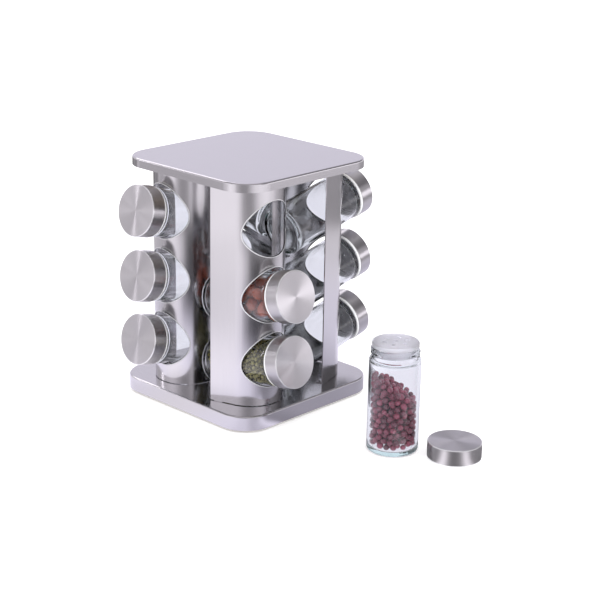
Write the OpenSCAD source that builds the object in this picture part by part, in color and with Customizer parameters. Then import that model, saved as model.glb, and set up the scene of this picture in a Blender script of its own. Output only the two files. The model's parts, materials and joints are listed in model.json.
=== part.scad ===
/* [Body] */
// Width of the square base plate
base_w = 180; // [180:1:184]
// Height of the base plate's skirt
base_h = 13.8; // [13.8:0.1:16]
// Corner radius of the base plate
base_corner_r = 29; // [26:0.5:34]
// Width of the square top plate
top_w = 172; // [172:1:180]
// Height of the top plate's skirt
top_h = 8.5; // [8:0.1:12]
// Corner radius of the top plate
top_corner_r = 29.6; // [26:0.2:34]
// Overall height of the carousel
overall_h = 235; // [232:1:245]
// Radius of the pressed top edges
edge_r = 1.6; // [1.2:0.1:2.4]
// Thickness of the plate covers
cover_t = 0.8; // [0.6:0.1:1]

/* [Turntable] */
// Gap between the table and the base skirt
skirt_gap = 2.5; // [2:0.1:3]
// Radius of the turntable foot
foot_r = 70; // [62:1:76]
// Radius of the ring of balls
ball_ring_r = 46; // [38:1:54]
// Ball diameter
ball_d = 5; // [4.6:0.1:5]
// Number of balls
ball_count = 24; // [12:1:36]

/* [Panels] */
// Sheet thickness of the upright panels
sheet_t = 1; // [0.8:0.1:1.2]
// Outer radius of a panel's curve
bend_r = 31; // [30:0.5:31.5]
// Length of a panel's flat wing
wing_l = 26; // [20:1:28]
// Angle of the flat wing to the jars' axis
wing_angle = 16.5; // [14:0.5:18]
// Radius of a jar hole
hole_r = 25.8; // [25.6:0.1:26.2]

/* [Jars] */
// Radius of the glass
jar_r = 23.4; // [23:0.1:23.4]
// Height of the glass up to the shoulder
shoulder_h = 87.5; // [84:0.5:88]
// Height of the threaded neck
neck_h = 11; // [11:0.5:13]
// Thickness of the glass wall
glass_t = 2; // [1.6:0.1:2.4]
// Radius of the steel cap
cap_r = 24.5; // [24.4:0.1:24.8]
// Depth of the steel cap
cap_h = 14.5; // [14:0.1:15]
// Height of the liner's rim below the steel
rim_h = 2.2; // [1.5:0.1:2.2]
// Backward tilt of a jar in its slot
tilt = 13.5; // [11:0.5:15]
// Height of the lowest cap's face above the table
low_z = 66; // [64:0.2:68]
// Spacing of the three tiers
tier_pitch = 63.1; // [62:0.1:64]

/* [Hidden] */
$fn = 96;
COLUMNS = ["front", "right", "back", "left"];
TIERS = ["low", "mid", "top"];
PIECES = ["glass", "sifter", "liner", "cap"];
// The front top slot is empty: its jar and cap stand on the table
EMPTY = [0, 2];
SLOTS = [for (c = [0:3]) for (t = [0:2]) if ([c, t] != EMPTY) [c, t]];
function slot_name(slot) = str(COLUMNS[slot[0]], "_", TIERS[slot[1]]);

steel = "silver";
plastic = "whitesmoke";
eps = 0.05;
run_gap = 0.05;

// Heights, from the table up
mat_h = 1;
mat_r = foot_r - 4;
foot_top = 4;
board_bottom = 6.5;
base_top = skirt_gap + base_h;
top_bottom = overall_h - top_h;
ceiling = top_bottom + 0.2;
board_gap = edge_r - cover_t + 0.2;

// Balls and pivot
ball_r = ball_d / 2;
ball_z = (foot_top + board_bottom) / 2;
hub_r = 12;
pivot_r = 3;
pivot_head_r = 6.5;
pivot_head_h = 1.3;
pivot_head_z = 1.3;
pivot_top = 13;

// Panel: the curve's centre, the stop lip, and the tabs it is screwed down by
bend = [44.5, -38.3];
panel_z = base_top + 0.6;
lip_x = 40.8;
lip_end_y = -3.2;
lip_join = 95;
wing_start = wing_angle - 90;
tab = [9, 8, 1];
wing_tab_at = 8;
bend_tab_at = 58;
tab_hole_r = 1.6;
screw_r = 1.5;
screw_head_r = 2.7;
screw_head_h = 1.3;
screw_l = 6;

// Jar: heights along its axis, from its foot
jar_corner = 3;
jar_floor = 4;
shoulder_r = 2.5;
neck_r = jar_r - shoulder_r;
bore_r = neck_r - 2.2;
neck_top = shoulder_h + neck_h;
sifter_h = 4;
sifter_r = neck_r + 0.3;
liner_top = neck_top + sifter_h + 0.4;
liner_t = 1;
liner_edge_r = 0.6;
cap_t = 0.5;
jar_l = liner_top + liner_t + cap_t;
cap_bottom = jar_l - cap_h;
liner_r = cap_r - cap_t - 0.05;
liner_bore = 22.4;
sifter_holes = 6;
sifter_hole_r = 2.2;
sifter_ring_r = 10.5;

// Slots: where a seated jar's axis and its hole lie
cap_face_x = 104.8;
jar_y = -41;
hole_y = -39.6;
hole_rise = 1.5;
rest_gap = 0.25;
rest_w = 12;
rest_l = 14;
rest_t = 1;

// The jar and the cap that stand on the table
loose_jar = [196, -7.6];
loose_cap = [249, 15.8];

function tier_z(t) = low_z + t * tier_pitch;
foot_x = cap_face_x - jar_l * cos(tilt);
function foot_z(t) = tier_z(t) - jar_l * sin(tilt);
function foot_low_z(t) = foot_z(t) - jar_r * cos(tilt);

// A disc whose lower and upper edges are rounded with their own radii
module rounded_disc(r, h, low, high) {
    rotate_extrude() {
        translate([0, low]) square([r, h - low - high]);
        square([r - low, low + eps]);
        translate([0, h - high - eps]) square([r - high, high + eps]);
        intersection() {
            union() {
                if (low > 0) translate([r - low, low]) circle(low);
                if (high > 0) translate([r - high, h - high]) circle(high);
            }
            square([r, h]);
        }
    }
}

// Cross-section of a slab: width w, height h, both top edges rounded
module slab_section(w, h, edge) {
    translate([-w / 2, 0]) square([w, h - edge]);
    translate([-w / 2 + edge, 0]) square([w - 2 * edge, h]);
    for (x = [-1, 1]) translate([x * (w / 2 - edge), h - edge]) circle(edge);
}

// A square slab with round corners and a rounded top edge
module rounded_slab(w, h, corner, edge) {
    span = w - 2 * corner;
    for (turn = [0, 90]) {
        rotate([0, 0, turn])
            rotate([90, 0, 0])
                translate([0, 0, -span / 2])
                    linear_extrude(span) slab_section(w, h, edge);
    }
    for (x = [-1, 1], y = [-1, 1]) {
        translate([x * span / 2, y * span / 2, 0]) rounded_disc(corner, h, 0, edge);
    }
}

// A pressed sheet cover, open below
module sheet_cover(w, h, corner) {
    difference() {
        rounded_slab(w, h, corner, edge_r);
        translate([0, 0, -cover_t])
            rounded_slab(w - 2 * cover_t, h, corner - cover_t, edge_r - cover_t);
    }
}

// The plain board that fills a cover, with straight edges
module board(w, h, corner) {
    span = w - 2 * corner;
    for (turn = [0, 90]) {
        rotate([0, 0, turn]) translate([-w / 2, -span / 2, 0]) cube([w, span, h]);
    }
    for (x = [-1, 1], y = [-1, 1]) {
        translate([x * span / 2, y * span / 2, 0]) cylinder(r = corner, h = h);
    }
}

// Places where a panel's tabs are screwed down
wing_dir = [cos(wing_angle), sin(wing_angle)];
wing_root = bend + bend_r * [cos(wing_start), sin(wing_start)];
wing_tip = wing_root - wing_l * wing_dir;
wing_tab = wing_tip + wing_tab_at * wing_dir;
bend_tab = bend + bend_r * [cos(bend_tab_at), sin(bend_tab_at)];
TABS = [[wing_tab, wing_angle], [bend_tab, bend_tab_at + 90]];

// Puts its children at the screw of each tab, on all four panels
module at_screws() {
    for (c = [0:3], spot = TABS) {
        rotate([0, 0, 90 * c])
            translate(concat(spot[0], 0))
                rotate([0, 0, spot[1]])
                    translate([0, sheet_t + tab[1] / 2, 0]) children();
    }
}

// The ring groove that the balls run in
module ball_groove() {
    rotate_extrude()
        translate([ball_ring_r, ball_z]) circle(ball_r + run_gap);
}

module turntable_foot() {
    color("dimgray") difference() {
        union() {
            translate([0, 0, mat_h]) cylinder(r = foot_r, h = foot_top - mat_h);
            translate([0, 0, mat_h])
                cylinder(r = hub_r, h = board_bottom - run_gap - mat_h);
        }
        ball_groove();
        cylinder(r = pivot_r + run_gap, h = board_bottom + 1);
        cylinder(r = pivot_head_r + 0.5, h = pivot_head_z + pivot_head_h + run_gap);
    }
}

module rubber_mat() {
    color("black") cylinder(r = mat_r, h = mat_h);
}

module bearing_balls() {
    color("gainsboro") for (i = [0:ball_count - 1]) {
        rotate([0, 0, i * 360 / ball_count])
            translate([ball_ring_r, 0, ball_z]) sphere(ball_r);
    }
}

module base_board() {
    h = base_top - cover_t - board_bottom;
    gap = cover_t + board_gap;
    color("burlywood") difference() {
        translate([0, 0, board_bottom])
            board(base_w - 2 * gap, h, base_corner_r - gap);
        ball_groove();
        translate([0, 0, board_bottom - 1])
            cylinder(r = pivot_r + run_gap, h = pivot_top - board_bottom + 1.1);
        translate([0, 0, base_top - screw_l])
            at_screws() cylinder(r = screw_r + run_gap, h = screw_l);
    }
}

module base_cover() {
    color(steel) difference() {
        translate([0, 0, skirt_gap]) sheet_cover(base_w, base_h, base_corner_r);
        translate([0, 0, base_top - 2 * cover_t])
            at_screws() cylinder(r = tab_hole_r, h = 3 * cover_t);
    }
}

module top_board() {
    h = overall_h - cover_t - ceiling;
    gap = cover_t + board_gap;
    color("burlywood") difference() {
        translate([0, 0, ceiling]) board(top_w - 2 * gap, h, top_corner_r - gap);
        translate([0, 0, ceiling - 1])
            at_screws() cylinder(r = screw_r + run_gap, h = screw_l + 1);
    }
}

module top_cover() {
    color(steel) translate([0, 0, top_bottom]) sheet_cover(top_w, top_h, top_corner_r);
}

// A pan-head screw, its head's underside at z = 0 and its shank pointing down
module screw() {
    rounded_disc(screw_head_r, screw_head_h, 0, 0.6);
    translate([0, 0, 0.2 - screw_l]) cylinder(r = screw_r, h = screw_l);
}

module fasteners() {
    color("lightgray") {
        translate([0, 0, base_top + tab[2]]) at_screws() screw();
        translate([0, 0, ceiling - tab[2]]) at_screws() mirror([0, 0, 1]) screw();
        translate([0, 0, pivot_head_z]) {
            cylinder(r = pivot_head_r, h = pivot_head_h);
            cylinder(r = pivot_r, h = pivot_top - pivot_head_z);
        }
    }
}

// Plan of a panel: flat wing, curve and stop lip
module panel_plan() {
    reach = 2 * bend_r;
    translate(wing_tip) rotate(wing_angle) square([wing_l + eps, sheet_t]);
    translate(bend) intersection() {
        difference() {
            circle(bend_r);
            circle(bend_r - sheet_t);
        }
        polygon(concat([[0, 0]],
            [for (k = [0:4]) let (a = wing_start + k * (lip_join - wing_start) / 4)
                reach * [cos(a), sin(a)]]));
    }
    lip_start = bend[1] + bend_r * sin(lip_join) - sheet_t;
    translate([lip_x, lip_start]) square([sheet_t, lip_end_y - lip_start]);
}

// The space that a jar needs through a panel, along its tilted axis
module slot_bore(t) {
    translate([cap_face_x, hole_y, tier_z(t) + hole_rise])
        rotate([0, -90 - tilt, 0]) cylinder(r = hole_r, h = 60);
}

// A ledge bent from the stop lip, under the foot of the next column's jar
module rest_ledge(t) {
    translate([lip_x + sheet_t / 2 - rest_w / 2, lip_end_y - sheet_t,
        foot_low_z(t) - rest_gap - rest_t])
        cube([rest_w, rest_l, rest_t]);
}

module panel_tab() {
    difference() {
        translate([-tab[0] / 2, sheet_t / 2, 0]) cube([tab[0], tab[1], tab[2]]);
        translate([0, sheet_t + tab[1] / 2, -1])
            cylinder(r = tab_hole_r, h = tab[2] + 2);
    }
}

module panel(c) {
    color(steel) rotate([0, 0, 90 * c]) {
        difference() {
            translate([0, 0, panel_z]) linear_extrude(ceiling - panel_z) panel_plan();
            for (t = [0:2]) slot_bore(t);
        }
        for (t = [0:2]) rest_ledge(t);
        for (spot = TABS, z = [base_top, ceiling - tab[2]]) {
            translate(concat(spot[0], z)) rotate([0, 0, spot[1]]) panel_tab();
        }
    }
}

module glass() {
    inner_r = jar_r - glass_t;
    inner_top = shoulder_h - shoulder_r;
    color("lightcyan", 0.4) difference() {
        union() {
            rounded_disc(jar_r, shoulder_h, jar_corner, shoulder_r);
            rounded_disc(neck_r, neck_top, 0, 0.8);
        }
        translate([0, 0, jar_floor])
            rounded_disc(inner_r, inner_top - jar_floor, 2.4, inner_r - bore_r);
        translate([0, 0, inner_top - 1]) cylinder(r = bore_r, h = neck_h + 10);
        translate([0, 0, -1]) cylinder(r = jar_r - 6, h = 1.8);
    }
}

module sifter() {
    plug_r = bore_r - 0.1;
    color(plastic, 0.8) difference() {
        union() {
            translate([0, 0, neck_top]) rounded_disc(sifter_r, sifter_h, 0, 1.2);
            translate([0, 0, neck_top - 7]) cylinder(r = plug_r, h = 7 + eps);
        }
        translate([0, 0, neck_top - 8])
            cylinder(r = plug_r - 1.2, h = 8 + sifter_h - 1.4);
        for (i = [0:sifter_holes]) {
            rotate([0, 0, i * 360 / sifter_holes])
                translate([i < sifter_holes ? sifter_ring_r : 0, 0, neck_top])
                    cylinder(r = sifter_hole_r, h = sifter_h + 1);
        }
    }
}

module liner() {
    wall_z = cap_bottom - rim_h;
    color(plastic) difference() {
        union() {
            translate([0, 0, cap_bottom])
                rounded_disc(liner_r, liner_top + liner_t - cap_bottom, 0, liner_edge_r);
            translate([0, 0, wall_z])
                rounded_disc(cap_r - 0.3, rim_h, 0.8, 0);
        }
        translate([0, 0, wall_z - 1])
            cylinder(r = liner_bore, h = liner_top - wall_z + 1);
    }
}

module cap() {
    color(steel) difference() {
        translate([0, 0, cap_bottom]) rounded_disc(cap_r, cap_h, 0, 0.9);
        translate([0, 0, cap_bottom - 1])
            rounded_disc(cap_r - cap_t, cap_h - cap_t + 1, 0, 0.5);
    }
}

// One piece of a jar, by its name, standing upright on its foot
module piece(name) {
    if (name == "glass") glass();
    if (name == "sifter") sifter();
    if (name == "liner") liner();
    if (name == "cap") cap();
}

// Seats an upright jar's piece in its slot
module seated(slot) {
    rotate([0, 0, 90 * slot[0]])
        translate([foot_x, jar_y, foot_z(slot[1])])
            rotate([0, 90 - tilt, 0]) children();
}

// Stands a piece of the loose jar, or of its cap, on the table
module on_table(name) {
    off = name == "cap" || name == "liner";
    translate(concat(off ? loose_cap : loose_jar, off ? rim_h - cap_bottom : 0))
        children();
}

turntable_foot();
rubber_mat();
bearing_balls();
base_board();
base_cover();
for (c = [0:3]) {
    panel(c);
}
top_board();
top_cover();
fasteners();
for (name = PIECES) {
    for (slot = SLOTS) {
        seated(slot) piece(name);
    }
    on_table(name) piece(name);
}
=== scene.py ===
import json
import math

import bmesh
import bpy
import numpy as np
from mathutils import Matrix, Quaternion, Vector


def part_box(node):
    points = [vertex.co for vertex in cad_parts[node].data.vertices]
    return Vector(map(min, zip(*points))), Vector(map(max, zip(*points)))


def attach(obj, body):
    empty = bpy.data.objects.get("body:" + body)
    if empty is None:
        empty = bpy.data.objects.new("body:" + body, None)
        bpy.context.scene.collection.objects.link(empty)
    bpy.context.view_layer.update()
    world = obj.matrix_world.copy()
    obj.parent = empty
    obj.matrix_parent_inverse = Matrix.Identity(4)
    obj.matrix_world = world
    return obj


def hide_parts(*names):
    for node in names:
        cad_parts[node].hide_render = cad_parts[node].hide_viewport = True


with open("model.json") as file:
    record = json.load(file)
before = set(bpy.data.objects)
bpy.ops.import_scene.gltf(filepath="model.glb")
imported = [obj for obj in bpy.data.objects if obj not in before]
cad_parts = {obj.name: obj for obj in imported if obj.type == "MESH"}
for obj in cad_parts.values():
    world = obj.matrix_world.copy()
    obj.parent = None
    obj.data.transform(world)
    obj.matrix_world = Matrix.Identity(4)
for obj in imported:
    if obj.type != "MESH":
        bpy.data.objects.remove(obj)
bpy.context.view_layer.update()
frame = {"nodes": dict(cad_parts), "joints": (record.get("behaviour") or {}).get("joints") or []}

MM = 0.001

# Camera: where it stands round the carousel, and where it aims
VIEW_AZIMUTH = 43.67
VIEW_ELEVATION = 18.41
VIEW_ROLL = 1.02
VIEW_DISTANCE = 1.510
AIM_HEIGHT = 0.1175
AIM_RIGHT = 0.0506
AIM_UP = -0.0249
LENS = 93.72

# The jar's measures, the same as its solids have
JAR_R = 23.4 * MM
GLASS_T = 2.0 * MM
SHOULDER_H = 87.5 * MM
SHOULDER_R = 2.5 * MM
NECK_R = JAR_R - SHOULDER_R
NECK_TOP = 98.5 * MM
BORE_R = NECK_R - 2.2 * MM
JAR_FLOOR = 4.0 * MM
JAR_CORNER = 3.0 * MM
THREAD_PITCH = 3.6 * MM
CAP_R = 24.5 * MM
CAP_T = 0.5 * MM
CAP_TOP = 104.4 * MM
CAP_BOTTOM = 89.9 * MM
LINER_RIM = 2.2 * MM
LINER_BORE = 22.4 * MM
HINGE_AT = 97.0 * MM
LOOSE = "loose"

RINGS = 128

# The panels' curve and holes, the same as their solids have
TILT = math.radians(13.5)
CURVE_X = 44.5 * MM
CURVE_Y = -38.3 * MM
CURVE_R = 30.5 * MM
HOLE_X = 104.8 * MM
HOLE_Y = -39.6 * MM
HOLE_R = 25.8 * MM
LOW_HOLE_Z = 67.5 * MM
TIER_PITCH = 63.1 * MM
BEAD_R = 0.75 * MM


# ---------------------------------------------------------------- profiles and meshes

def arc(centre_r, centre_z, radius, start, end, steps):
    """Points of a round corner in a lathe outline, from one angle to another, in degrees."""
    turn = [math.radians(start + (end - start) * i / steps) for i in range(steps + 1)]
    return [(centre_r + radius * math.cos(a), centre_z + radius * math.sin(a)) for a in turn]


def rise(r, low, high, steps):
    """Evenly spaced points straight along the axis at one radius."""
    return [(r, low + (high - low) * i / steps) for i in range(steps + 1)]


def lathe(name, outline, sharp=35.0, reshape=None):
    """Turns an outline of (radius, height) points round Z. It closes at the axis where the radius is 0."""
    bm = bmesh.new()
    rows = []
    for r, z in outline:
        if r < 1e-7:
            rows.append([bm.verts.new((0, 0, z))])
            continue
        row = []
        for i in range(RINGS):
            a = 2 * math.pi * i / RINGS
            at = reshape(r, z, a) if reshape else r
            row.append(bm.verts.new((at * math.cos(a), at * math.sin(a), z)))
        rows.append(row)
    for low, high in zip(rows, rows[1:]):
        for i in range(RINGS):
            j = (i + 1) % RINGS
            if len(low) == 1 and len(high) == 1:
                continue
            if len(low) == 1:
                bm.faces.new((low[0], high[i], high[j]))
            elif len(high) == 1:
                bm.faces.new((low[i], high[0], low[j]))
            else:
                bm.faces.new((low[i], high[i], high[j], low[j]))
    if outline[0] == outline[-1]:
        bmesh.ops.remove_doubles(bm, verts=bm.verts, dist=1e-7)
    bmesh.ops.recalc_face_normals(bm, faces=bm.faces)
    return finish_mesh(bm, name, sharp)


def finish_mesh(bm, name, sharp):
    """Makes a smooth-shaded mesh whose edges stay crisp above an angle in degrees."""
    mesh = bpy.data.meshes.new(name)
    bm.to_mesh(mesh)
    bm.free()
    mesh.shade_smooth()
    mesh.set_sharp_from_angle(angle=math.radians(sharp))
    return mesh


def place(name, mesh, material, body, matrix, stands_for=()):
    """Adds a piece at its place in the frame, riding on its body."""
    piece = bpy.data.objects.new(name, mesh)
    bpy.context.scene.collection.objects.link(piece)
    piece.matrix_world = matrix
    if not mesh.materials:
        mesh.materials.append(material)
    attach(piece, body)
    if stands_for:
        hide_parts(*stands_for)
    return piece


def thread_bump(z, angle, start, turns, height):
    """How far a screw thread stands out at a height and an angle, fading in and out at its ends."""
    lead = (z - start) / THREAD_PITCH - angle / (2 * math.pi)
    nearest = min(max(round(lead), 0), turns)
    at_turn = nearest + angle / (2 * math.pi)
    fade = min(1.0, max(0.0, at_turn / 0.12), max(0.0, (turns + 0.9 - at_turn) / 0.12))
    off = (lead - nearest) / 0.30
    return height * fade * math.exp(-off * off)


# ---------------------------------------------------------------- materials

# Sockets of a mix node that mixes colours
MIX_FACTOR = 0
MIX_COLOUR_A = 6
MIX_COLOUR_B = 7
MIX_COLOUR = 2


class Nodes:
    """Short calls for building one node material."""

    def __init__(self, name):
        self.material = bpy.data.materials.new(name)
        self.material.use_nodes = True
        self.tree = self.material.node_tree
        self.shader = self.tree.nodes["Principled BSDF"]
        self.output = self.tree.nodes["Material Output"]
        self.coords = self.tree.nodes.new("ShaderNodeTexCoord")

    def add(self, kind, **values):
        """A node with its attributes set."""
        node = self.tree.nodes.new(kind)
        for key, value in values.items():
            setattr(node, key, value)
        return node

    def link(self, out, into):
        """Links an output socket to an input socket."""
        self.tree.links.new(out, into)

    def set(self, **values):
        """Sets sockets of the Principled shader by name, with _ for a space."""
        for key, value in values.items():
            self.shader.inputs[key.replace("_", " ")].default_value = value

    def mapped(self, scale, source="Object"):
        """Texture coordinates, stretched along each axis."""
        mapping = self.add("ShaderNodeMapping")
        mapping.inputs["Scale"].default_value = scale
        self.link(self.coords.outputs[source], mapping.inputs["Vector"])
        return mapping.outputs["Vector"]

    def noise(self, vector, scale, detail=2.0, roughness=0.5):
        """Noise between 0 and 1."""
        node = self.add("ShaderNodeTexNoise")
        node.inputs["Scale"].default_value = scale
        node.inputs["Detail"].default_value = detail
        node.inputs["Roughness"].default_value = roughness
        self.link(vector, node.inputs["Vector"])
        return node.outputs["Fac"]

    def ramp(self, value, low, high, out_low, out_high):
        """Maps a value's range to another range."""
        node = self.add("ShaderNodeMapRange")
        node.inputs["From Min"].default_value = low
        node.inputs["From Max"].default_value = high
        node.inputs["To Min"].default_value = out_low
        node.inputs["To Max"].default_value = out_high
        self.link(value, node.inputs["Value"])
        return node.outputs["Result"]

    def mix(self, factor, first, second):
        """Mixes two colours by a value."""
        node = self.add("ShaderNodeMix", data_type="RGBA")
        self.link(factor, node.inputs["Factor"])
        node.inputs["A"].default_value = (*first, 1)
        node.inputs["B"].default_value = (*second, 1)
        return node.outputs["Result"]

    def blend(self, factor, first, second):
        """Mixes two colour outputs by a value."""
        node = self.add("ShaderNodeMix", data_type="RGBA")
        self.link(factor, node.inputs[MIX_FACTOR])
        self.link(first, node.inputs[MIX_COLOUR_A])
        self.link(second, node.inputs[MIX_COLOUR_B])
        return node.outputs[MIX_COLOUR]

    def attribute(self, name):
        """A mesh attribute's value."""
        return self.add("ShaderNodeAttribute", attribute_name=name).outputs["Fac"]

    def bump(self, height, distance, strength=1.0):
        """Bump from a height into the shader's normal."""
        node = self.add("ShaderNodeBump")
        node.inputs["Strength"].default_value = strength
        node.inputs["Distance"].default_value = distance
        self.link(height, node.inputs["Height"])
        self.link(node.outputs["Normal"], self.shader.inputs["Normal"])


def brushed_sheet(name, grain, colour, roughness, anisotropy, tangent):
    """Satin sheet steel: fine straight scratches along one direction."""
    n = Nodes(name)
    n.set(Metallic=1.0, Anisotropic=anisotropy, Anisotropic_Rotation=0.25)
    scratches = n.noise(n.mapped(grain), 1.0, 3.0, 0.6)
    broad = n.noise(n.mapped((30, 30, 30)), 1.0, 2.0)
    low, high = [c * 0.975 for c in colour], [min(1.0, c * 1.025) for c in colour]
    n.link(n.mix(n.ramp(scratches, 0.3, 0.7, 0, 1), low, high), n.shader.inputs["Base Color"])
    uneven = n.add("ShaderNodeMath", operation="ADD")
    n.link(n.ramp(scratches, 0.3, 0.7, roughness - 0.02, roughness + 0.02), uneven.inputs[0])
    n.link(n.ramp(broad, 0.3, 0.7, -0.01, 0.01), uneven.inputs[1])
    n.link(uneven.outputs["Value"], n.shader.inputs["Roughness"])
    n.bump(scratches, 0.000004, 0.5)
    along = n.add("ShaderNodeCombineXYZ")
    for axis, value in zip("XYZ", tangent):
        along.inputs[axis].default_value = value
    turned = n.add("ShaderNodeVectorTransform", vector_type="VECTOR",
                   convert_from="OBJECT", convert_to="WORLD")
    n.link(along.outputs["Vector"], turned.inputs["Vector"])
    n.link(turned.outputs["Vector"], n.shader.inputs["Tangent"])
    return n.material


def brushed_cap(name):
    """Cap steel: circular scratches on the face and round the side, and a painted highlight on the rounded
    edge round the face, where the colour is lighter and less metallic.
    """
    n = Nodes(name)
    n.set(Anisotropic=1.0, Anisotropic_Rotation=0.25)
    apart = n.add("ShaderNodeSeparateXYZ")
    n.link(n.coords.outputs["Object"], apart.inputs["Vector"])
    flat = n.add("ShaderNodeCombineXYZ")
    n.link(apart.outputs["X"], flat.inputs["X"])
    n.link(apart.outputs["Y"], flat.inputs["Y"])
    radius = n.add("ShaderNodeVectorMath", operation="LENGTH")
    n.link(flat.outputs["Vector"], radius.inputs[0])
    edge = n.attribute("edge")
    ring = n.add("ShaderNodeCombineXYZ")
    n.link(radius.outputs["Value"], ring.inputs["X"])
    n.link(apart.outputs["Z"], ring.inputs["Y"])
    rings = n.noise(ring.outputs["Vector"], 9000.0, 1.0, 0.5)
    scratched = n.mix(n.ramp(rings, 0.3, 0.7, 0, 1), (0.55, 0.54, 0.55), (0.59, 0.58, 0.59))
    # Painted highlight: the rounded edge round the face is lighter and less metallic than the rest of the
    # cap, so it shows as a bright line.
    painted_highlight_colour = n.mix(n.ramp(rings, 0.3, 0.7, 0, 1), (0.74, 0.74, 0.75), (0.78, 0.78, 0.79))
    n.link(n.blend(edge, scratched, painted_highlight_colour), n.shader.inputs["Base Color"])
    n.link(n.ramp(edge, 0, 1, 1.0, 0.75), n.shader.inputs["Metallic"])
    n.link(n.ramp(rings, 0.3, 0.7, 0.28, 0.31), n.shader.inputs["Roughness"])
    n.bump(rings, 0.000002, 0.5)
    around = n.add("ShaderNodeTangent", direction_type="RADIAL", axis="Z")
    n.link(around.outputs["Tangent"], n.shader.inputs["Tangent"])
    return n.material


def bead_steel(name):
    """Rolled edge of the holes: polished steel on its outer side, lightened and made half diffuse so that it
    paints a highlight, and a near-black painted shade line on the side that faces into the hole.
    """
    n = Nodes(name)
    inward = n.attribute("inward")
    drift = n.noise(n.mapped((300, 300, 300)), 1.0, 2.0)
    # Outer side: lightened, half-diffuse steel, partly a painted highlight. Inner side: near black, a painted
    # shade line.
    bright = n.mix(drift, (0.70, 0.70, 0.72), (0.78, 0.78, 0.80))
    painted_shade_line = n.mix(drift, (0.05, 0.05, 0.055), (0.08, 0.08, 0.085))
    n.link(n.blend(inward, bright, painted_shade_line), n.shader.inputs["Base Color"])
    n.link(n.ramp(inward, 0, 1, 0.5, 0.9), n.shader.inputs["Metallic"])
    n.link(n.ramp(drift, 0.3, 0.7, 0.14, 0.2), n.shader.inputs["Roughness"])
    return n.material


def clear_glass(name):
    """Soda-lime glass: faint waves in its faces, and green where the way through it is long."""
    n = Nodes(name)
    n.set(Roughness=0.0, IOR=1.5, Transmission_Weight=1.0)
    waves = n.noise(n.mapped((60, 60, 25)), 1.0, 1.0)
    n.link(n.mix(waves, (0.985, 0.99, 0.99), (0.995, 1.0, 1.0)), n.shader.inputs["Base Color"])
    n.bump(waves, 0.0002, 0.3)
    body = n.add("ShaderNodeVolumeAbsorption")
    body.inputs["Color"].default_value = (0.30, 0.80, 0.75, 1)
    body.inputs["Density"].default_value = 11.0
    n.link(body.outputs["Volume"], n.output.inputs["Volume"])
    return n.material


def moulded(name, low, high, roughness, **sockets):
    """Moulded plastic or rubber: slight colour drift and a fine matt bump."""
    n = Nodes(name)
    n.set(**sockets)
    drift = n.noise(n.mapped((45, 45, 45)), 1.0, 2.0)
    fine = n.noise(n.mapped((2500, 2500, 2500)), 1.0, 2.0)
    n.link(n.mix(n.ramp(drift, 0.3, 0.7, 0, 1), low, high), n.shader.inputs["Base Color"])
    n.link(n.ramp(fine, 0.3, 0.7, roughness - 0.04, roughness + 0.04), n.shader.inputs["Roughness"])
    n.bump(fine, 0.00002, 0.4)
    return n.material


def fibreboard(name):
    """Bare board: short fibres of two browns."""
    n = Nodes(name)
    fibres = n.noise(n.mapped((900, 900, 900)), 1.0, 4.0, 0.7)
    n.link(n.mix(n.ramp(fibres, 0.35, 0.65, 0, 1), (0.31, 0.25, 0.19), (0.47, 0.39, 0.31)),
           n.shader.inputs["Base Color"])
    n.set(Roughness=0.85)
    n.bump(fibres, 0.0001, 0.5)
    return n.material


def plated(name):
    """Plated steel of screws and balls."""
    n = Nodes(name)
    n.set(Metallic=1.0)
    fine = n.noise(n.mapped((1500, 1500, 1500)), 1.0, 2.0)
    n.link(n.mix(fine, (0.62, 0.62, 0.64), (0.74, 0.74, 0.76)), n.shader.inputs["Base Color"])
    n.link(n.ramp(fine, 0.3, 0.7, 0.16, 0.26), n.shader.inputs["Roughness"])
    return n.material


def spice(name, dark, light, roughness, wrinkle, gloss):
    """Dried berries or nuts: each one has its own shade, with a wrinkled skin."""
    n = Nodes(name)
    n.set(Coat_Weight=gloss, Coat_Roughness=0.22)
    skin = n.noise(n.mapped((wrinkle, wrinkle, wrinkle)), 1.0, 3.0, 0.6)
    both = n.add("ShaderNodeMath", operation="MULTIPLY_ADD")
    n.link(skin, both.inputs[0])
    both.inputs[1].default_value = 0.5
    n.link(n.attribute("shade"), both.inputs[2])
    n.link(n.mix(n.ramp(both.outputs["Value"], 0.2, 1.2, 0, 1), dark, light), n.shader.inputs["Base Color"])
    n.link(n.ramp(skin, 0.3, 0.7, roughness - 0.08, roughness + 0.08), n.shader.inputs["Roughness"])
    n.bump(skin, 0.0003, 0.6)
    return n.material


# ---------------------------------------------------------------- the jar's pieces

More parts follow.
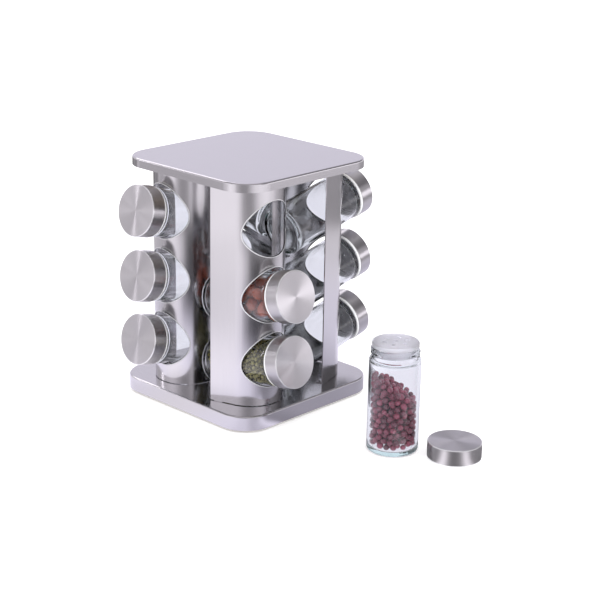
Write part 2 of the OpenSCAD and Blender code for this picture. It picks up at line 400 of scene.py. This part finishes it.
def glass_outline():
    """Outline of the glass from the middle of its foot, up outside, and down inside to its floor."""
    inner_r = JAR_R - GLASS_T
    inner_top = SHOULDER_H - SHOULDER_R
    step = inner_r - BORE_R
    floor_r = 2.4 * MM
    rim = 0.8 * MM
    push_r = JAR_R - 6 * MM
    push_h = 0.8 * MM
    outline = [(0, push_h * 1.6), (push_r * 0.5, push_h * 1.4), (push_r - MM, push_h)]
    outline += arc(push_r + 1.2 * MM, 0.6 * MM, 0.6 * MM, 180, 270, 4)
    outline += arc(JAR_R - JAR_CORNER, JAR_CORNER, JAR_CORNER, -90, 0, 8)
    outline += rise(JAR_R, JAR_CORNER + 4 * MM, SHOULDER_H - SHOULDER_R - 3 * MM, 6)
    outline += arc(JAR_R - SHOULDER_R, SHOULDER_H - SHOULDER_R, SHOULDER_R, 0, 80, 6)
    outline += rise(NECK_R, SHOULDER_H + 0.3 * MM, NECK_TOP - rim, 36)
    outline += arc(NECK_R - rim, NECK_TOP - rim, rim, 15, 90, 4)
    outline += arc(BORE_R + 0.4 * MM, NECK_TOP - 0.4 * MM, 0.4 * MM, 90, 180, 3)
    outline += rise(BORE_R, NECK_TOP - 3 * MM, inner_top + 0.5 * MM, 3)
    outline += arc(inner_r - step, inner_top - step, step, 80, 0, 6)
    outline += rise(inner_r, inner_top - step - 3 * MM, JAR_FLOOR + floor_r + 3 * MM, 5)
    outline += arc(inner_r - floor_r, JAR_FLOOR + floor_r, floor_r, 0, -90, 6)
    outline += [(inner_r * 0.5, JAR_FLOOR + 0.5 * MM), (0, JAR_FLOOR + 0.8 * MM)]
    return outline


def glass_mesh():
    """The jar with a screw thread round its neck."""
    start = SHOULDER_H + 2.6 * MM

    def reshape(r, z, angle):
        if z > SHOULDER_H and abs(r - NECK_R) < 1e-6:
            return r + thread_bump(z, angle, start, 1, 1.25 * MM)
        return r

    return lathe("glass", glass_outline(), 50.0, reshape)


def cap_mesh():
    """The drawn steel shell of the screw cap, open below, with a rounded edge round its face."""
    edge = 0.9 * MM
    inner = CAP_R - CAP_T
    outline = [(0, CAP_TOP), (CAP_R * 0.4, CAP_TOP), (CAP_R - edge - 0.4 * MM, CAP_TOP)]
    outline += arc(CAP_R - edge, CAP_TOP - edge, edge, 90, 0, 6)
    outline += rise(CAP_R, CAP_TOP - edge - 1.5 * MM, CAP_BOTTOM + MM, 4)
    outline += arc(CAP_R - CAP_T / 2, CAP_BOTTOM + CAP_T / 2, CAP_T / 2, 0, -180, 6)
    outline += rise(inner, CAP_BOTTOM + MM, CAP_TOP - 2 * MM, 4)
    outline += arc(inner - edge / 2, CAP_TOP - CAP_T - edge / 2, edge / 2, 0, 90, 4)
    outline += [(0, CAP_TOP - CAP_T)]
    mesh = lathe("cap", outline, 50.0)
    # Marks the rounded edge round the face, where the cap steel paints a highlight.
    rolled = mesh.attributes.new("edge", "FLOAT", "POINT")
    for vertex, mark in zip(mesh.vertices, rolled.data):
        r = math.hypot(vertex.co.x, vertex.co.y)
        top_edge = r > CAP_R - 0.75 * edge and vertex.co.z > CAP_TOP - 0.75 * edge
        mark.value = 1.0 if top_edge else 0.0
    return mesh


def liner_mesh():
    """The white threaded insert of the cap, whose rim shows below the steel."""
    outer = CAP_R - CAP_T - 0.05 * MM
    rim_r = CAP_R - 0.3 * MM
    wall_z = CAP_BOTTOM - LINER_RIM
    top = 102.9 * MM
    start = wall_z + 3.6 * MM
    outline = [(0, top + MM), (outer - MM, top + MM)]
    outline += arc(outer - 0.6 * MM, top + 0.4 * MM, 0.6 * MM, 90, 0, 4)
    outline += [(outer, CAP_BOTTOM + 0.1 * MM), (outer, CAP_BOTTOM), (rim_r, CAP_BOTTOM)]
    outline += arc(rim_r - 0.8 * MM, wall_z + 0.8 * MM, 0.8 * MM, 0, -90, 6)
    outline += arc(LINER_BORE + 0.4 * MM, wall_z + 0.4 * MM, 0.4 * MM, 270, 180, 4)
    outline += rise(LINER_BORE, wall_z + MM, top - 2 * MM, 30)
    outline += [(LINER_BORE, top), (0, top)]

    def reshape(r, z, angle):
        if abs(r - LINER_BORE) < 1e-6 and wall_z + 0.9 * MM < z < top - MM:
            return r - thread_bump(z, angle, start, 1, 0.5 * MM)
        return r

    return lathe("liner", outline, 50.0, reshape)


def on_axis(joint):
    """Matrix that stands an upright jar on its slot's axis, its foot at the seat."""
    axis = Vector(joint["axis"]).normalized()
    side = Vector((-axis.y, axis.x, 0)).normalized()
    turn = Matrix((side, axis.cross(side), axis)).transposed().to_4x4()
    foot = Vector(joint["pos_m"]) - axis * HINGE_AT
    return Matrix.Translation(foot) @ turn


def above(node, height):
    """Matrix that stands an upright piece over a node's middle, at a height."""
    low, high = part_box(node)
    return Matrix.Translation(((low.x + high.x) / 2, (low.y + high.y) / 2, height))


def make_jars():
    """All twelve jars: glass, cap, liner and sifter in their places."""
    glass, cap, liner = glass_mesh(), cap_mesh(), liner_mesh()
    clear = clear_glass("clear_glass")
    steel = brushed_cap("cap_steel")
    white = moulded("liner_plastic", (0.80, 0.80, 0.82), (0.86, 0.86, 0.87), 0.35)
    soft = moulded("sifter_plastic", (0.95, 0.95, 0.98), (0.98, 0.98, 1.0), 0.42,
                   IOR=1.3, Transmission_Weight=0.84)
    places = {}
    for joint in frame["joints"]:
        if joint["name"].startswith("unscrew_"):
            places[joint["name"].removeprefix("unscrew_")] = on_axis(joint)
    for slot, matrix in places.items():
        place(f"jar_glass_{slot}", glass, clear, f"jar_{slot}", matrix, [f"glass_{slot}"])
        place(f"steel_cap_{slot}", cap, steel, f"cap_{slot}", matrix, [f"cap_{slot}"])
        place(f"cap_liner_{slot}", liner, white, f"liner_{slot}", matrix,
              [f"liner_{slot}"])
    upright = above("glass_loose", 0)
    fallen = above("cap_loose", LINER_RIM - CAP_BOTTOM)
    place("jar_glass_loose", glass, clear, "jar_loose", upright, ["glass_loose"])
    place("steel_cap_loose", cap, steel, "cap_loose", fallen, ["cap_loose"])
    place("cap_liner_loose", liner, white, "cap_loose", fallen, ["liner_loose"])
    for name, node in frame["nodes"].items():
        if name.startswith("sifter_"):
            dress(node, soft)
    places[LOOSE] = upright
    return places


def dress(node, material):
    """Gives a CAD node its finish."""
    node.data.materials.clear()
    node.data.materials.append(material)


# ---------------------------------------------------------------- spices

def settle(points, radii, wall, floor, lean, top, rounds):
    """Pushes overlapping grains apart inside a jar, below a leaning top surface."""
    up = np.array([lean[0], lean[1], 1.0])
    up /= np.linalg.norm(up)
    for _ in range(rounds):
        gaps = points[:, None, :] - points[None, :, :]
        far = np.sqrt((gaps ** 2).sum(-1)) + np.eye(len(points))
        lap = np.clip(radii[:, None] + radii[None, :] - far, 0, None)
        np.fill_diagonal(lap, 0)
        points += (gaps / far[..., None] * (0.35 * lap)[..., None]).sum(1)
        out = np.hypot(points[:, 0], points[:, 1])
        keep = np.minimum(1.0, (wall - radii) / np.maximum(out, 1e-9))
        points[:, :2] *= keep[:, None]
        over = np.clip(points @ up - (top * up[2] - radii), 0, None)
        points -= over[:, None] * up
        points[:, 2] = np.maximum(points[:, 2], floor + radii)
    return points


def grain_mesh(name, points, radii, stretch, lumps, detail, seed):
    """One mesh of many grains, each a lumpy ball turned its own way, with its shade kept as an attribute."""
    rng = np.random.default_rng(seed)
    bm = bmesh.new()
    bmesh.ops.create_icosphere(bm, subdivisions=detail, radius=1.0)
    ball = np.array([v.co for v in bm.verts])
    faces = np.array([[v.index for v in f.verts] for f in bm.faces])
    bm.free()
    count = len(points)
    turn = rng.normal(size=(count, 3, 3))
    turn = np.linalg.qr(turn)[0]
    waves = rng.normal(size=(count, 4, 3)) * 2.2
    phase = rng.uniform(0, 2 * math.pi, size=(count, 4))
    lump = np.sin(np.einsum("nwk,vk->nvw", waves, ball) + phase[:, None, :]).mean(-1)
    shape = ball[None] * (1.0 - lumps + lumps * lump)[..., None]
    shape = shape * np.array(stretch)
    shape = np.einsum("nij,nvj->nvi", turn, shape) * radii[:, None, None] + points[:, None, :]
    verts = shape.reshape(-1, 3)
    triangles = (faces[None] + (np.arange(count) * len(ball))[:, None, None]).reshape(-1, 3)
    mesh = bpy.data.meshes.new(name)
    mesh.from_pydata(verts.tolist(), [], triangles.tolist())
    mesh.shade_smooth()
    shade = mesh.attributes.new("shade", "FLOAT", "POINT")
    shade.data.foreach_set("value", np.repeat(rng.uniform(0, 1, count), len(ball)))
    return mesh


def pour(name, grain_r, spread, fill, lean, seed, stretch, lumps, detail=2, density=0.62, rounds=140):
    """Grains poured into a jar up to a height, as one mesh."""
    rng = np.random.default_rng(seed)
    wall = JAR_R - GLASS_T - 0.15 * MM
    floor = JAR_FLOOR + 0.9 * MM
    volume = math.pi * wall ** 2 * (fill - floor) * density
    count = int(volume / (4 / 3 * math.pi * grain_r ** 3))
    radii = grain_r * rng.uniform(1 - spread, 1 + spread, count)
    angle = rng.uniform(0, 2 * math.pi, count)
    out = (wall - grain_r) * np.sqrt(rng.uniform(0, 1, count))
    flat = np.stack([out * np.cos(angle), out * np.sin(angle)], 1)
    tops = fill - flat @ np.array(lean) - grain_r
    height = floor + grain_r + (tops - floor - grain_r) * rng.uniform(0, 1, count)
    points = np.column_stack([flat, height])
    points = settle(points, radii, wall, floor, lean, fill, rounds)
    return grain_mesh(name, points, radii, stretch, lumps, detail, seed + 1)


def make_spices(places):
    """Red peppercorns in the loose jar, nuts and small seeds in the two front jars."""
    red = spice("red_pepper_skin", (0.12, 0.012, 0.035), (0.50, 0.08, 0.15), 0.40, 700, 0.8)
    brown = spice("nut_skin", (0.14, 0.014, 0.004), (0.66, 0.13, 0.045), 0.42, 260, 0.3)
    green = spice("seed_skin", (0.20, 0.17, 0.04), (0.60, 0.56, 0.22), 0.6, 900, 0.1)
    right = view_axes()[0]
    slope = (right.x * 0.60, right.y * 0.60)
    pepper = pour("red_peppercorns", 3.1 * MM, 0.12, 62 * MM, slope, 11, (1, 1, 0.94), 0.07)
    place("red_peppercorns", pepper, red, "jar_loose", places[LOOSE])
    nuts = pour("brown_nuts", 7.2 * MM, 0.10, 78 * MM, (0.1, 0.3), 23, (1.16, 0.90, 0.84), 0.08, 3)
    place("brown_nuts", nuts, brown, "jar_front_mid", places["front_mid"])
    seeds = pour("green_seeds", 2.2 * MM, 0.2, 76 * MM, (0.1, 0.3), 37, (1, 1, 0.85), 0.1, 1, rounds=60)
    place("green_seeds", seeds, green, "jar_front_low", places["front_low"])


# ---------------------------------------------------------------- the frame's own nodes

def hole_edge(turn):
    """A point on the middle of a panel's sheet along its hole, in the front column, for a turn in radians."""
    y = HOLE_Y + HOLE_R * math.cos(turn)
    x = CURVE_X + math.sqrt(CURVE_R ** 2 - (y - CURVE_Y) ** 2)
    up = HOLE_R * math.sin(turn)
    along = (x - HOLE_X + up * math.sin(TILT)) / math.cos(TILT)
    return Vector((x, y, up * math.cos(TILT) + along * math.sin(TILT)))


def ring_tube(bm, points, radius, sides):
    """Adds a closed round tube along a loop of points, with an inward mark where it turns in to the middle of
    the loop, where the bead's material paints shade.
    """
    middle = sum(points, Vector()) / len(points)
    rows = []
    inward = bm.verts.layers.float.get("inward") or bm.verts.layers.float.new("inward")
    for i, at in enumerate(points):
        ahead = (points[(i + 1) % len(points)] - points[i - 1]).normalized()
        out = ahead.cross(Vector((1, 0, 0))).normalized()
        side = out.cross(ahead)
        turns = [2 * math.pi * k / sides for k in range(sides)]
        row = [bm.verts.new(at + radius * (math.cos(t) * out + math.sin(t) * side)) for t in turns]
        # The inward mark is where the bead steel paints a dark shade line.
        to_middle = (middle - at).normalized()
        for vertex in row:
            facing = (vertex.co - at).normalized().dot(to_middle)
            vertex[inward] = 1.0 if facing > 0.2 else 0.0
        rows.append(row)
    for i, row in enumerate(rows):
        after = rows[(i + 1) % len(rows)]
        for k in range(sides):
            j = (k + 1) % sides
            bm.faces.new((row[k], row[j], after[j], after[k]))
    bmesh.ops.recalc_face_normals(bm, faces=bm.faces)


def make_beads(material):
    """The beaded edges of the jar holes, one piece for each panel."""
    for column, name in enumerate(("front", "right", "back", "left")):
        turn = Matrix.Rotation(math.radians(90 * column), 4, "Z")
        bm = bmesh.new()
        for tier in range(3):
            lift = Vector((0, 0, LOW_HOLE_Z + tier * TIER_PITCH))
            loop = [turn @ (hole_edge(2 * math.pi * i / RINGS) + lift) for i in range(RINGS)]
            ring_tube(bm, loop, BEAD_R, 12)
        mesh = finish_mesh(bm, f"hole_beads_{name}", 60.0)
        place(f"hole_beads_{name}", mesh, material, "carousel", Matrix.Identity(4))


def dress_frame():
    """Materials for the plates, panels, turntable and fasteners, and the beads round the holes."""
    nodes = frame["nodes"]
    steel = (0.60, 0.59, 0.605)
    upright = brushed_sheet("panel_steel", (2600, 2600, 18), steel, 0.18, 0.8, (0, 0, 1))
    flat = brushed_sheet("plate_steel", (18, 2600, 2600), steel, 0.18, 0.4, (1, 0, 0))
    for name in ("panel_front", "panel_right", "panel_back", "panel_left"):
        dress(nodes[name], upright)
    for name in ("base_cover", "top_cover"):
        dress(nodes[name], flat)
    make_beads(bead_steel("bead_steel"))
    board = fibreboard("fibreboard")
    dress(nodes["base_board"], board)
    dress(nodes["top_board"], board)
    dress(nodes["turntable_foot"], moulded("foot_plastic", (0.02, 0.02, 0.022), (0.03, 0.03, 0.032), 0.5))
    dress(nodes["rubber_mat"], moulded("mat_rubber", (0.012, 0.012, 0.012), (0.02, 0.02, 0.02), 0.8))
    dress(nodes["bearing_balls"], plated("ball_steel"))
    dress(nodes["fasteners"], plated("screw_steel"))


# ---------------------------------------------------------------- camera, floor and light

FLOOR_R = 12.0
STUDIO_LIGHT = 1.42


def view_axes():
    """The camera's right, up and forward directions."""
    a, e = math.radians(VIEW_AZIMUTH), math.radians(VIEW_ELEVATION)
    forward = -Vector((math.sin(a) * math.cos(e), -math.cos(a) * math.cos(e), math.sin(e)))
    level = forward.cross(Vector((0, 0, 1))).normalized()
    right = Quaternion(forward, math.radians(VIEW_ROLL)).inverted() @ level
    return right, right.cross(forward), forward


def add_camera():
    """The camera, off the front column's corner and a little above."""
    right, up, forward = view_axes()
    data = bpy.data.cameras.new("camera")
    data.sensor_width = 36.0
    data.lens = LENS
    data.clip_end = 50.0
    camera = bpy.data.objects.new("camera", data)
    bpy.context.scene.collection.objects.link(camera)
    aim = Vector((0, 0, AIM_HEIGHT)) + right * AIM_RIGHT + up * AIM_UP
    turn = Matrix((right, up, -forward)).transposed().to_4x4()
    camera.matrix_world = Matrix.Translation(aim - forward * VIEW_DISTANCE) @ turn
    bpy.context.scene.camera = camera


def stand_on_stage(name, mesh, unseen_by):
    """Adds a part of the studio, hidden from some kinds of ray."""
    prop = bpy.data.objects.new(name, mesh)
    bpy.context.scene.collection.objects.link(prop)
    for ray in unseen_by:
        setattr(prop, "visible_" + ray, False)


def add_floor():
    """A large pale floor, which the glass shows through its own backdrop instead."""
    n = Nodes("floor_white")
    drift = n.noise(n.mapped((3, 3, 3)), 1.0, 2.0)
    n.link(n.mix(drift, (0.93, 0.93, 0.935), (0.95, 0.95, 0.955)), n.shader.inputs["Base Color"])
    n.set(Roughness=0.9, Specular_IOR_Level=0.0, Emission_Strength=0.3)
    bm = bmesh.new()
    bmesh.ops.create_circle(bm, cap_ends=True, segments=64, radius=FLOOR_R)
    mesh = finish_mesh(bm, "floor", 30.0)
    mesh.materials.append(n.material)
    stand_on_stage("floor", mesh, ("transmission",))


def add_world():
    """Even white studio light from all round."""
    world = bpy.data.worlds.new("studio")
    bpy.context.scene.world = world
    world.use_nodes = True
    background = world.node_tree.nodes["Background"]
    background.inputs["Color"].default_value = (1, 1, 1, 1)
    background.inputs["Strength"].default_value = STUDIO_LIGHT


def glowing(name):
    """Paint of a studio panel that shines with its own glow attribute."""
    material = bpy.data.materials.new(name)
    material.use_nodes = True
    nodes, links = material.node_tree.nodes, material.node_tree.links
    nodes.remove(nodes["Principled BSDF"])
    light = nodes.new("ShaderNodeEmission")
    glow = nodes.new("ShaderNodeAttribute")
    glow.attribute_name = "glow"
    links.new(glow.outputs["Color"], light.inputs["Color"])
    links.new(light.outputs["Emission"], nodes["Material Output"].inputs["Surface"])
    return material


def add_glow(name, rows, unseen_by, closed=True):
    """A shining sheet through rows of (point, brightness, tint), closed where each row is a ring."""
    mesh = bpy.data.meshes.new(name)
    width = len(rows[0])
    points = [tuple(point) for row in rows for point, _, _ in row]
    faces = []
    for i in range(len(rows) - 1):
        for k in range(width if closed else width - 1):
            j = (k + 1) % width
            faces.append((i * width + k, i * width + j, (i + 1) * width + j, (i + 1) * width + k))
    mesh.from_pydata(points, [], faces)
    glow = mesh.attributes.new("glow", "FLOAT_COLOR", "POINT")
    colours = [[level * c for c in tint] + [1.0] for row in rows for _, level, tint in row]
    glow.data.foreach_set("color", [c for colour in colours for c in colour])
    mesh.materials.append(glowing(name + "_paint"))
    stand_on_stage(name, mesh, unseen_by)


# Which rays miss what only the steel mirrors, and what only the glass shows
ONLY_MIRRORED = ("camera", "diffuse", "transmission", "shadow")
ONLY_THROUGH_GLASS = ("camera", "diffuse", "glossy", "shadow")

# What the steel mirrors in each direction, in degrees: the floor at the foot, close by, near, far
# and further off, then the horizon, the low wall and the ceiling. The stops below give the distance
# on the floor in metres, or the height in degrees, at which each of them holds
LIGHT_PLAN = [
    (-180, 1.00, 1.20, 0.90, 0.75, 0.40, 0.85, 0.90, 0.50),
    (-158, 1.05, 1.25, 0.92, 0.74, 0.26, 0.85, 0.85, 0.30),
    (-149, 1.05, 1.27, 0.85, 0.72, 0.80, 0.85, 0.90, 0.30),
    (-141, 1.08, 1.28, 0.80, 0.68, 0.62, 0.85, 0.92, 0.30),
    (-134, 1.10, 1.30, 0.75, 0.65, 0.52, 0.86, 0.95, 0.30),
    (-118, 1.10, 1.33, 0.80, 0.72, 0.90, 1.00, 1.30, 0.30),
    (-100, 1.12, 1.38, 1.05, 1.18, 1.38, 1.10, 1.50, 0.30),
    (-87, 1.14, 1.36, 1.22, 1.26, 1.25, 0.90, 1.35, 0.25),
    (-75, 1.16, 1.34, 1.06, 1.16, 0.62, 0.60, 1.00, 0.25),
    (-61, 1.16, 1.18, 0.45, 0.85, 0.40, 0.40, 0.65, 0.20),
    (-46, 1.00, 1.04, 0.15, 0.22, 0.42, 0.50, 0.60, 0.20),
    (-39, 0.74, 0.84, 0.12, 0.14, 0.60, 0.65, 0.70, 0.20),
    (-33, 0.85, 0.64, 0.10, 0.06, 0.80, 0.85, 0.80, 0.20),
    (-27, 1.20, 0.50, 0.11, 0.06, 0.96, 0.95, 0.96, 0.20),
    (-20, 0.38, 0.32, 0.12, 0.06, 1.18, 1.09, 1.18, 0.20),
    (0, 0.50, 0.35, 0.18, 0.08, 1.28, 1.30, 1.30, 0.20),
    (20, 0.50, 0.40, 0.45, 0.30, 1.10, 1.70, 0.60, 0.20),
    (46, 0.60, 0.55, 0.98, 0.75, 0.62, 1.95, 0.30, 0.30),
    (79, 0.80, 1.15, 1.00, 0.95, 0.38, 1.60, 0.05, 0.28),
    (108, 1.00, 1.00, 0.80, 0.30, 0.40, 1.30, 0.70, 0.40),
    (134, 1.00, 1.00, 0.60, 0.20, 0.25, 1.00, 0.86, 0.50),
    (152, 1.00, 1.00, 0.80, 0.45, 0.20, 0.80, 0.86, 0.50),
    (170, 1.00, 1.10, 0.86, 0.60, 0.12, 0.70, 0.88, 0.50),
    (180, 1.00, 1.20, 0.90, 0.75, 0.40, 0.85, 0.90, 0.50),
]
FLOOR_STOPS = ((0.13, 1), (0.16, 2), (0.21, 2), (0.34, 3), (0.45, 3), (0.54, 4), (0.63, 4), (0.70, 5),
               (1.0, 5), (2.2, 6))
WALL_STOPS = ((6, 6), (11, 7), (22, 7), (30, 8))

# Tints of what shines. From this azimuth on, the walls behind the object turn lavender
LAVENDER = (1.0, 0.96, 1.10)
NEUTRAL = (1.0, 0.96, 1.02)
AWAY_FROM_VIEWER = 100

GLOW_SIDES = 120
# Where the mirrored floor and walls have their rings, in metres and degrees
FLOOR_RINGS = (0.05, 0.13, 0.145, 0.16, 0.21, 0.27, 0.34, 0.45, 0.54, 0.63, 0.67, 0.7, 1.0, 1.6, 2.2, 6.0)
FLOOR_GLOW_LIFT = 0.2 * MM
CAP_FLOOR_RINGS = (0.0, 0.026, 0.05, 0.085)
CAP_FLOOR_LIFT = 0.4 * MM
WALL_R = 5.5
WALL_RINGS = (0, 5, 8, 10, 14, 18, 22, 24, 26, 28, 30, 40, 60, 75, 89)
ZENITH_GLOW = 0.8

# The soft box behind the object: its distance, level, and its lowest and highest directions
SOFT_BOX_AT = 4.0
SOFT_BOX_LEVEL = 2.4
SOFT_BOX_TURN = (140, 195)
SOFT_BOX_RISE = (31, 50)

# The upright strip light, which the left caps' faces show as a bright line
STRIP_AT = 2.4
STRIP_HEIGHT = 0.12
STRIP_LEVEL = 7.0
STRIP_LEAN = (-0.775, -0.735)
STRIP_RISE = (22, 48)

# The backdrop that the glass shows: radius and height of each ring
BACKDROP_RINGS = ((0.001, 0.0001), (0.3, 0.0001), (5.2, 0.0001), (5.2, 1.0), (5.2, 2.5), (0.5, 5.0))
BACKDROP_SIDES = 48
BACKDROP_TINT = (0.93, 0.90, 1.02)


def planned(azimuth, column):
    """The light plan's value in a direction, smoothly between its rows."""
    for low, high in zip(LIGHT_PLAN, LIGHT_PLAN[1:]):
        if low[0] <= azimuth <= high[0]:
            part = (azimuth - low[0]) / (high[0] - low[0])
            part = part * part * (3 - 2 * part)
            return low[column] * (1 - part) + high[column] * part
    return LIGHT_PLAN[0][column]


def between(value, low, high):
    """How far a value has come from one limit to another, from 0 to 1."""
    return min(1.0, max(0.0, (value - low) / (high - low)))


def angles(limits, count):
    """Evenly spaced angles in radians, from one limit in degrees to the other."""
    low, high = limits
    return [math.radians(low + (high - low) * i / count) for i in range(count + 1)]


def ring_ways(count):
    """Level directions all round, each with its azimuth in degrees."""
    turns = [-180 + 360 * i / count for i in range(count)]
    return [(a, Vector((math.cos(math.radians(a)), math.sin(math.radians(a)), 0))) for a in turns]


def glow_at(azimuth, spot, stops):
    """The brightness in a direction, between the stops of the floor or of the wall."""
    if spot <= stops[0][0]:
        return planned(azimuth, stops[0][1])
    for (low, first), (high, second) in zip(stops, stops[1:]):
        if spot <= high:
            part = between(spot, low, high)
            return planned(azimuth, first) * (1 - part) + planned(azimuth, second) * part
    return planned(azimuth, stops[-1][1])


def near_tint(azimuth):
    """The floor's tint near the object: a clearer lavender, save where the panels' flat wings look."""
    return (1.0, 0.96, 1.13 - 0.09 * math.exp(-((azimuth + 100) / 30) ** 2))


def add_floor_glow():
    """The floor as the steel mirrors it."""
    rows = []
    for radius in FLOOR_RINGS:
        far = between(radius, 0.25, 0.6)
        row = []
        for a, way in ring_ways(GLOW_SIDES):
            tint = [near * (1 - far) + plain * far for near, plain in zip(near_tint(a), NEUTRAL)]
            point = way * radius + Vector((0, 0, FLOOR_GLOW_LIFT))
            row.append((point, glow_at(a, radius, FLOOR_STOPS), tint))
        rows.append(row)
    add_glow("floor_glow", rows, ONLY_MIRRORED)


def cap_floor(azimuth):
    """The floor round the cap that lies apart: two bright patches on the side of the viewer."""
    left = math.exp(-((azimuth + 84) / 14) ** 2)
    right = math.exp(-((azimuth + 15) / 14) ** 2)
    return 0.25 + 1.5 * left + 1.45 * right


def add_cap_floor_glow():
    """The floor close round the cap that lies apart, as its side mirrors it."""
    low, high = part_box("cap_loose")
    middle = Vector(((low.x + high.x) / 2, (low.y + high.y) / 2, CAP_FLOOR_LIFT))
    rows = [[(middle + way * radius, cap_floor(a), NEUTRAL) for a, way in ring_ways(GLOW_SIDES)]
            for radius in CAP_FLOOR_RINGS]
    add_glow("cap_floor_glow", rows, ONLY_MIRRORED)


def add_walls():
    """The studio's walls and ceiling as the steel mirrors them."""
    rows = []
    for elevation in WALL_RINGS:
        up = math.radians(elevation)
        zenith = ZENITH_GLOW * between(elevation, 55, 72)
        rows.append([(WALL_R * (way * math.cos(up) + Vector((0, 0, math.sin(up)))),
                      glow_at(a, elevation, WALL_STOPS) + zenith,
                      NEUTRAL if a < AWAY_FROM_VIEWER else LAVENDER)
                     for a, way in ring_ways(GLOW_SIDES)])
    add_glow("studio_walls", rows, ONLY_MIRRORED)


def add_lamps():
    """A soft box behind the object, and an upright strip light on the left."""
    rows = []
    for up in angles(SOFT_BOX_RISE, 1):
        level, lift = SOFT_BOX_AT * math.cos(up), SOFT_BOX_AT * math.sin(up)
        rows.append([(Vector((level * math.cos(a), level * math.sin(a), lift)), SOFT_BOX_LEVEL, NEUTRAL)
                     for a in angles(SOFT_BOX_TURN, 10)])
    add_glow("soft_box", rows, ONLY_MIRRORED, closed=False)
    rows = []
    for lean in STRIP_LEAN:
        reach = math.sqrt(1 - lean * lean)
        rows.append([(STRIP_AT * Vector((lean, -reach * math.cos(up), reach * math.sin(up)))
                      + Vector((0, 0, STRIP_HEIGHT)), STRIP_LEVEL, NEUTRAL)
                     for up in angles(STRIP_RISE, 10)])
    add_glow("strip_light", rows, ONLY_MIRRORED, closed=False)


def add_backdrop():
    """A soft lavender backdrop that only the glass shows."""
    ways = ring_ways(BACKDROP_SIDES)
    rows = [[(way * reach + Vector((0, 0, height)), 1.0, BACKDROP_TINT) for _, way in ways]
            for reach, height in BACKDROP_RINGS]
    add_glow("glass_backdrop", rows, ONLY_THROUGH_GLASS)


def add_card(name, azimuth, distance, width, height, shade):
    """A dark card that stands on the floor and shows only through glass."""
    n = Nodes(name + "_paint")
    drift = n.noise(n.mapped((4, 4, 4)), 1.0, 1.0)
    n.link(n.mix(drift, (shade * 0.9,) * 3, (shade * 1.1,) * 3), n.shader.inputs["Base Color"])
    n.set(Roughness=1.0, Specular_IOR_Level=0.0)
    a = math.radians(azimuth)
    out = Vector((math.cos(a), math.sin(a), 0))
    side = Vector((-out.y, out.x, 0))
    bm = bmesh.new()
    corners = [out * distance + side * (sx * width / 2) + Vector((0, 0, z))
               for sx, z in ((-1, 0), (1, 0), (1, height), (-1, height))]
    bm.faces.new([bm.verts.new(c) for c in corners])
    mesh = finish_mesh(bm, name, 30.0)
    mesh.materials.append(n.material)
    stand_on_stage(name, mesh, ONLY_THROUGH_GLASS)


def add_studio():
    """Floor, light, what the steel mirrors, and the dark cards that give the glass its edges."""
    add_floor()
    add_world()
    add_floor_glow()
    add_cap_floor_glow()
    add_walls()
    add_lamps()
    add_backdrop()
    add_card("left_card", azimuth=-165, distance=0.70, width=0.12, height=0.9, shade=0.10)
    add_card("right_card", azimuth=20, distance=0.85, width=0.22, height=0.9, shade=0.42)


def set_colours():
    """Plain display colours, so that white stays white."""
    settings = bpy.context.scene.view_settings
    settings.view_transform = "Standard"
    settings.look = "None"


add_camera()
add_studio()
set_colours()
dress_frame()
make_spices(make_jars())
